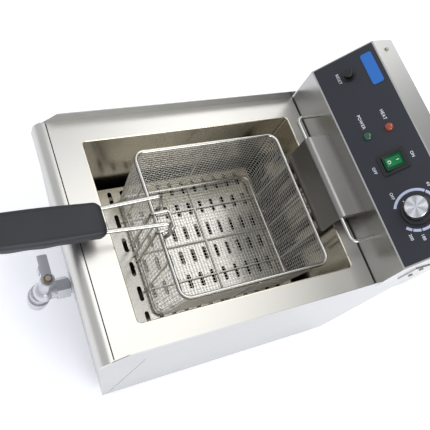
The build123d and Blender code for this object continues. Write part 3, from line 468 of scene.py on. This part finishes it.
# ---- woven basket ----
def weave_basket():
    """Plain-woven wire cloth, folded up at the four sides of the floor."""
    pitch, wire = 4.6 * MM, 0.38 * MM          # between wires, and a wire's radius
    skin = 0.4 * MM                            # the cloth lies this far inside the solid's ends
    corner = 13 * MM                           # radius of the tub's upright corners
    end_gap = 1.5 * MM                         # a floor wire ends this far from the corner
    first_ring = 1.6 * MM                      # lowest ring, above the floor
    steepest = math.radians(45)                # uprights stop half way round a corner
    wires_x, wires_y = 18, 22                  # on each side of the middle
    floor_half_x, top_half_x = 87.1 * MM, 97.1 * MM
    floor_long, top_long = 207.6 * MM, 210.6 * MM
    low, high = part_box("basket_mesh")
    floor_z, top_z = low.z + wire, high.z
    floor_front, floor_back = low.y + skin, low.y + floor_long
    top_front, top_back = high.y - top_long, high.y - skin
    floor_mid, floor_half_y = (floor_front + floor_back) / 2, (floor_back - floor_front) / 2
    top_mid, top_half_y = (top_front + top_back) / 2, (top_back - top_front) / 2
    ring_count = int((top_z - floor_z) / pitch)
    levels = [floor_z + first_ring + step * pitch for step in range(ring_count)]

    def wall_wire(offset, end, low_half, low_far, top_half, top_far):
        """Foot, head and outward direction of a wire that goes up a wall, or None in a corner."""
        straight = low_half - corner
        past = max(abs(offset) - straight, 0.0)
        bend = math.asin(min(past / corner, 1.0))
        if bend > steepest:
            return None
        side = math.copysign(1, offset)
        head = min(abs(offset), straight) * (top_half - corner) / straight
        foot = (offset, end * (low_far - corner * (1 - math.cos(bend))))
        head = (side * (head + corner * math.sin(bend)),
                end * (top_far - corner * (1 - math.cos(bend))))
        return foot, head, (side * math.sin(bend), end * math.cos(bend))

    def turned_round(wall):
        """The same upright with its two directions swapped, for the tub's long walls."""
        return [(y, x) for x, y in wall]

    span_x = [i * pitch for i in range(-wires_x, wires_x + 1)]
    span_y = [i * pitch for i in range(-wires_y, wires_y + 1)]
    x_walls = {(x, end): wall_wire(x, end, floor_half_x, floor_half_y, top_half_x, top_half_y)
               for x in span_x for end in (-1, 1)}
    y_walls = {(y, end): wall_wire(y, end, floor_half_y, floor_half_x, top_half_y, top_half_x)
               for y in span_y for end in (-1, 1)}
    # all the uprights, in order round the tub
    ring = [x_walls[x, -1] for x in span_x if x_walls[x, -1]]
    ring += [turned_round(y_walls[y, 1]) for y in span_y if y_walls[y, 1]]
    ring += [x_walls[x, 1] for x in reversed(span_x) if x_walls[x, 1]]
    ring += [turned_round(y_walls[y, -1]) for y in reversed(span_y) if y_walls[y, -1]]

    def wall_point(upright, z, swing):
        """A point of an upright at a height, pushed outwards by the weave's swing."""
        (foot_x, foot_y), (head_x, head_y), (out_x, out_y) = upright
        share = (z - floor_z) / (top_z - floor_z)
        lean_y = head_y + top_mid - floor_mid - foot_y
        return (foot_x + (head_x - foot_x) * share + out_x * swing,
                floor_mid + foot_y + lean_y * share + out_y * swing,
                z)

    def rise(upright):
        """The points of one upright, from the floor to the rim, going in and out of the rings."""
        turn = ring.index(upright)
        return [wall_point(upright, z, wire * (-1) ** (turn + k)) for k, z in enumerate(levels)]

    def floor_reach(offset, half_across, half_along):
        """How far from the middle a floor wire runs before the floor's rounded outline."""
        past = max(abs(offset) - (half_across - corner), 0.0)
        return half_along - corner + math.sqrt(max(corner ** 2 - past ** 2, 0.0)) - end_gap

    runs = []
    for i, x in enumerate(span_x):
        reach = floor_reach(x, floor_half_x, floor_half_y)
        crossings = [(x, floor_mid + y, floor_z + wire * (-1) ** (i + j))
                     for j, y in enumerate(span_y) if abs(y) < reach]
        front, back = x_walls[x, -1], x_walls[x, 1]
        if front and back:
            crossings = rise(front)[::-1] + crossings + rise(back)
        runs.append((crossings, False))
    for j, y in enumerate(span_y):
        reach = floor_reach(y, floor_half_y, floor_half_x)
        crossings = [(x, floor_mid + y, floor_z - wire * (-1) ** (i + j))
                     for i, x in enumerate(span_x) if abs(x) < reach]
        left, right = y_walls[y, -1], y_walls[y, 1]
        if left and right:
            crossings = rise(turned_round(left))[::-1] + crossings + rise(turned_round(right))
        runs.append((crossings, False))
    for k, z in enumerate(levels):
        loop = [wall_point(upright, z, -wire * (-1) ** (turn + k))
                for turn, upright in enumerate(ring)]
        runs.append((loop, True))
    return wires("basket_weave", runs, wire)


dress(weave_basket(), mesh_wire, "basket", "woven_mesh", "basket_mesh")


# ---- handle grip ----
def carve_grip():
    """A long grip with a flat back, rounded sides and four finger hollows underneath."""
    length, wide, thick = 135 * MM, 42 * MM, 19 * MM
    corner, hollow, fingers = 6.5 * MM, 4.0 * MM, 4
    end_share = 0.07                           # of the half length, where each end rounds off
    end_narrows, end_thins, waist_narrows = 0.13, 0.30, 0.05
    rise_angle = math.radians(7)
    low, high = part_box("handle_grip")
    inner_end = Vector((0, high.y - 0.7 * MM, low.z + 8.97 * MM))
    bpy.ops.mesh.primitive_cube_add(size=1)
    piece = bpy.context.object
    piece.name = "soft_grip"
    bpy.ops.object.mode_set(mode="EDIT")
    bpy.ops.mesh.subdivide(number_cuts=27)
    bpy.ops.object.mode_set(mode="OBJECT")
    for vertex in piece.data.vertices:
        x, y, z = vertex.co * 2
        end_round = max(abs(y) - (1 - end_share), 0) / end_share
        narrow = 1 - end_narrows * end_round ** 2
        waist = 1 - waist_narrows * (1 - math.cos(math.pi * y)) / 2
        half_x = wide / 2 * narrow * waist
        half_z = thick / 2 * (1 - end_thins * end_round ** 2)
        # round the section's corners
        inner_x, inner_z = half_x - corner, half_z - corner
        px, pz = x * half_x, z * half_z
        over_x, over_z = max(abs(px) - inner_x, 0), max(abs(pz) - inner_z, 0)
        if over_x and over_z:
            reach = max(over_x, over_z) / math.hypot(over_x, over_z)
            px = math.copysign(inner_x + over_x * reach, px)
            pz = math.copysign(inner_z + over_z * reach, pz)
        # hollow the underside, once for each finger
        if z < 0:
            wave = math.cos(math.pi * fingers * (y + 1) + math.pi)
            pz += hollow * (0.5 + 0.5 * wave) * min(1, -z) * (1 - end_round)
        vertex.co = (px, -y * length / 2, pz)
    along = Vector((0, -math.cos(rise_angle), math.sin(rise_angle)))
    middle = inner_end + along * length / 2
    bpy.ops.object.shade_smooth()
    smooth = piece.modifiers.new("smooth", "SUBSURF")
    smooth.levels = smooth.render_levels = 1
    bpy.ops.object.modifier_apply(modifier="smooth")
    return settle(piece, Matrix.Translation(middle) @ Matrix.Rotation(-rise_angle, 4, "X"))


dress(carve_grip(), grip_black, "basket_handle", "black_grip", "handle_grip")

# ---- print on the panel ----
ink_height, ink_thick = 1.06, 0.05             # its top above the housing, its body
dial_radius, dial_half_width, dial_gap = 25.3, 1.7, 0.8
dial_start, dial_end = -54, 244                # in degrees, anticlockwise from the right
dial_numbers = {60: 133, 90: 97, 120: 61, 150: 25, 180: -11, 200: -35}
number_radius = 34.5


def ring_segment(name, first, last):
    """A flat band of the dial's ring between two angles, in degrees, short of both by the gap."""
    bpy.ops.mesh.primitive_circle_add(vertices=240, radius=dial_radius * MM)
    band = bpy.context.object
    band.name = name
    bpy.ops.object.mode_set(mode="EDIT")
    bpy.ops.mesh.select_all(action="DESELECT")
    bpy.ops.object.mode_set(mode="OBJECT")
    for vertex in band.data.vertices:
        angle = math.degrees(math.atan2(vertex.co.y, vertex.co.x))
        angle += 360 if angle < first else 0
        vertex.select = not first + dial_gap <= angle <= last - dial_gap
    bpy.ops.object.mode_set(mode="EDIT")
    bpy.ops.mesh.delete(type="VERT")
    bpy.ops.mesh.select_all(action="SELECT")
    inner = (dial_radius - dial_half_width) / dial_radius
    outer = (dial_radius + dial_half_width) / dial_radius
    bpy.ops.transform.resize(value=(inner, inner, 1), center_override=(0, 0, 0))
    bpy.ops.mesh.extrude_region_move()
    bpy.ops.transform.resize(value=(outer / inner, outer / inner, 1), center_override=(0, 0, 0))
    bpy.ops.mesh.select_all(action="SELECT")
    bpy.ops.mesh.extrude_region_move(
        TRANSFORM_OT_translate={"value": (0, 0, ink_thick * MM)})
    bpy.ops.mesh.select_all(action="SELECT")
    bpy.ops.mesh.normals_make_consistent(inside=False)
    bpy.ops.object.mode_set(mode="OBJECT")
    return band


ring_edges = [dial_start] + sorted(dial_numbers.values()) + [dial_end]
bands = [ring_segment(f"dial_band_{i}", first, last)
         for i, (first, last) in enumerate(zip(ring_edges, ring_edges[1:]))]
dial_ring = join_as("dial_ring", bands)
settle(dial_ring, panel_frame(0, 0, ink_height - ink_thick))
dress(dial_ring, scale_ink, "control_head", "overlay_black")

# each word's place from the knob's middle, its height and how far its strokes are fattened
printed = [(str(number), number_radius * math.cos(math.radians(angle)),
            number_radius * math.sin(math.radians(angle)), 5.0, 0.08)
           for number, angle in dial_numbers.items()]
printed += [
    ("OFF", -27.4, -19.4, 5.0, 0.08),
    ("ON", -66.2, 24.4, 5.0, 0.08),
    ("OFF", -66.2, -25.1, 5.0, 0.08),
    ("POWER", -133.0, -14.3, 5.6, 0.06),
    ("HEAT", -129.6, 14.2, 5.6, 0.06),
    ("RESET", -200.9, -16.3, 5.4, 0.0),
]
words = [settle(lettering(text, size, bold, 0.02, spacing=1.12), panel_frame(u, v, ink_height))
         for text, u, v, size, bold in printed]
dress(join_as("panel_words", words), print_white, "control_head", "overlay_black")

# ---- thermostat knob ----
knob_profile = [(3.0, 16.0), (3.0, 1.4), (19.3, 1.4), (19.5, 2.0), (19.2, 4.6), (18.6, 5.6),
                (17.6, 6.0), (15.6, 6.2), (15.3, 7.0), (15.2, 12.0), (15.1, 18.4), (14.6, 19.5),
                (13.7, 20.0), (0.0, 20.0)]
disc_profile = [(0, 20.0), (13.5, 20.0), (13.5, 20.9), (13.0, 21.35), (0, 21.4)]
flutes, flute_share = 36, 0.022                # of the grip's radius, the depth of a flute
flute_low, flute_high = 6.9 * MM, 19.0 * MM
grip_least, grip_most = 14.0 * MM, 16.0 * MM   # radii between which the skirt is fluted

knob = turned("knob_grip", knob_profile, 144, Matrix.Identity(4))
for vertex in knob.data.vertices:
    radius = math.hypot(vertex.co.x, vertex.co.y)
    if flute_low < vertex.co.z < flute_high and grip_least < radius < grip_most:
        angle = math.atan2(vertex.co.y, vertex.co.x)
        dip = 1 - flute_share * (0.5 + 0.5 * math.cos(flutes * angle))
        vertex.co.x *= dip
        vertex.co.y *= dip
settle(knob, panel_frame(0, 0, 0))
dress(knob, case_black, "thermostat_knob", "black_gloss", "knob_body")

disc = turned("knob_disc", disc_profile, 96, panel_frame(0, 0, 0))
dress(disc, disc_aluminium, "thermostat_knob", "spun_aluminium", "knob_cap")

# a white line on the knob's flange, pointing at OFF
off_angle, pointer_radius, pointer_height = math.radians(-146), 16.9, 6.15
pointer = rounded_bar("knob_pointer", 3.6, 1.1, 0.5, 0.12)
settle(pointer, panel_frame(pointer_radius * math.cos(off_angle),
                            pointer_radius * math.sin(off_angle), pointer_height)
       @ Matrix.Rotation(off_angle, 4, "Z"))
dress(pointer, print_white, "thermostat_knob", "black_gloss")

# ---- lamps ----
lens_profile = [(0, -18), (4.2, -18), (4.2, 1.0), (5.5, 1.0), (5.5, 1.8), (5.35, 2.6), (4.9, 3.5),
                (4.1, 4.3), (3.0, 4.8), (1.6, 5.0), (0, 5.05)]
for name, finish, slot, v in (("power_lamp", green_lens, "green_lens", -14.5),
                              ("heat_lamp", orange_lens, "orange_lens", 14.0)):
    lamp_low, lamp_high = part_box(name)
    u = (lamp_low.x + lamp_high.x) / 2 / MM - panel_origin.x / MM
    lens = turned(name + "_dome", lens_profile, 48, panel_frame(u, v, 0))
    dress(lens, finish, "control_head", slot, name)

# ---- rocker switch ----
rocker_u, rocker_height, rocker_tilt = -67.0, 2.5, -10.0   # tipped to ON, in degrees
dish = 1.4                                     # how far its ends rise above its middle
window_crown = 2.05
mark_v, mark_lift, dish_half = 5.6, 0.25, 9.5
rocker_place = panel_frame(rocker_u, 0, rocker_height, rocker_tilt)


def rocker_piece(name, wide, long, bottom, crown, bevel):
    """A block with a hollowed top and rounded edges, in the tipped rocker's frame."""
    bpy.ops.mesh.primitive_cube_add(size=1)
    block = bpy.context.object
    block.name = name
    bpy.ops.object.mode_set(mode="EDIT")
    bpy.ops.mesh.subdivide(number_cuts=15)
    bpy.ops.object.mode_set(mode="OBJECT")
    for vertex in block.data.vertices:
        x, y, z = vertex.co
        top = crown + dish * (2 * y) ** 2
        vertex.co = (x * wide * MM, y * long * MM, (bottom + (top - bottom) * (z + 0.5)) * MM)
    soften_edges(block, bevel, 3, least_angle=50)
    bpy.ops.object.shade_smooth_by_angle(angle=math.radians(40))
    return settle(block, rocker_place)


def rocker_mark(text, v):
    """A raised mark on the window, at a place along the rocker."""
    height = window_crown + dish * (v / dish_half) ** 2 + mark_lift
    return settle(lettering(text, 6.0, 0.15, 0.05),
                  rocker_place @ Matrix.Translation((0, v * MM, height * MM)))


rocker = rocker_piece("rocker_paddle", 19.4, 24.4, -5.0, 1.8, 0.8)
dress(rocker, rocker_green, "switch_rocker", "green_lens", "rocker")
window = rocker_piece("rocker_window", 11.6, 19.0, 0.5, window_crown, 0.4)
dress(window, window_green, "switch_rocker", "green_lens")
rocker_marks = join_as("rocker_marks", [rocker_mark("O", -mark_v), rocker_mark("I", mark_v)])
dress(rocker_marks, print_white, "switch_rocker", "green_lens")


# ---- painted shadow in the deck's open lines ----
def seam_strip(name, y, wide):
    """A dark strip lying low in one of the deck's grooves: painted shadow in the open line."""
    end_margin, thick, sunk = 2.5, 0.3, 0.4
    long = (deck_high.x - deck_low.x) / MM - 2 * end_margin
    strip = rounded_bar(name, long, wide, thick, 0.1)
    middle_x = (deck_low.x + deck_high.x) / 2
    settle(strip, Matrix.Translation((middle_x, y, deck_high.z - sunk * MM)))
    return dress(strip, joint_shade, "fryer_body", "stainless_case")


seam_strip("front_crease_shade", deck_low.y + 13.9 * MM, 1.2)
seam_strip("head_foot_shade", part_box("riser_cover")[1].y - 0.9 * MM, 1.6)

# ---- floor, light and camera ----
bpy.ops.mesh.primitive_plane_add(size=30)
floor = bpy.context.object
floor.name = "studio_floor"
# matt white paper sweep, lit so that it stays even and pale
paper, _, paper_shader, _ = new_material("studio_paper_white")
set_shader(paper_shader, base_color=colour("f5f6f9"), roughness=0.9,
           emission_color=colour("f6f7fc"), emission_strength=0.36)
floor.data.materials.append(paper)


def softbox(name, place, aim, size, power):
    """A rectangular soft light, aimed at a point."""
    light = bpy.data.lights.new(name, "AREA")
    light.shape = "RECTANGLE"
    light.size, light.size_y = size
    light.energy = power
    box = bpy.data.objects.new(name, light)
    box.location = place
    box.rotation_mode = "QUATERNION"
    box.rotation_quaternion = (Vector(aim) - Vector(place)).to_track_quat("-Z", "Y")
    bpy.context.scene.collection.objects.link(box)


softbox("overhead_box", (-0.18, 0.36, 1.60), (-0.18, 0.36, 0.0), (1.05, 1.10), 5.6)
softbox("left_box", (-1.02, 0.80, 1.60), (-1.02, 0.80, 0.0), (0.62, 0.66), 2.2)
softbox("far_left_box", (-1.20, 1.70, 1.60), (-1.20, 1.70, 0.0), (0.62, 0.50), 1.8)
softbox("right_box", (1.9, 0.5, 1.2), (0, 0, 0.2), (1.4, 1.2), 24)

world = bpy.data.worlds.new("studio_world")
bpy.context.scene.world = world
world.use_nodes = True
sky = world.node_tree
direction = add_node(sky, "ShaderNodeTexCoord").outputs["Generated"]
axes = add_node(sky, "ShaderNodeSeparateXYZ", None, {0: direction})
# a dark wall behind the head, brighter to the left and below
behind = add_node(sky, "ShaderNodeMapRange", {"From Min": 0.05, "From Max": 0.55},
                  {"Value": axes.outputs["Y"]})
beside = add_node(sky, "ShaderNodeMapRange", {"From Min": -0.44, "From Max": -0.22},
                  {"Value": axes.outputs["X"]})
above = add_node(sky, "ShaderNodeMapRange", {"From Min": 0.55, "From Max": 0.74, "To Min": 0.45},
                 {"Value": axes.outputs["Z"]})
wall = add_node(sky, "ShaderNodeMath", {"operation": "MULTIPLY"},
                {0: behind.outputs["Result"], 1: beside.outputs["Result"]})
dark = add_node(sky, "ShaderNodeMath", {"operation": "MULTIPLY"},
                {0: wall.outputs["Value"], 1: above.outputs["Result"]})
tone = add_node(sky, "ShaderNodeMix",
                {"data_type": "RGBA", 6: colour("eef0f6"), 7: colour("7c7972")},
                {0: dark.outputs["Value"]})
sky.links.new(tone.outputs[2], sky.nodes["Background"].inputs["Color"])
sky.nodes["Background"].inputs["Strength"].default_value = 0.8

camera_data = bpy.data.cameras.new("camera")
camera_data.sensor_width = 36
camera_data.lens = 50.91
camera = bpy.data.objects.new("camera", camera_data)
camera_place = Vector((0.236983, -0.340369, 0.897165))
camera_right = Vector((0.332248, 0.877040, 0.347004))
camera_up = Vector((-0.890870, 0.170975, 0.420855))
camera_back = Vector((0.309778, -0.448963, 0.838135))
camera_turn = Matrix((camera_right, camera_up, camera_back)).transposed().to_4x4()
camera.matrix_world = Matrix.Translation(camera_place) @ camera_turn
bpy.context.scene.collection.objects.link(camera)
bpy.context.scene.camera = camera
bpy.context.scene.view_settings.view_transform = "Standard"
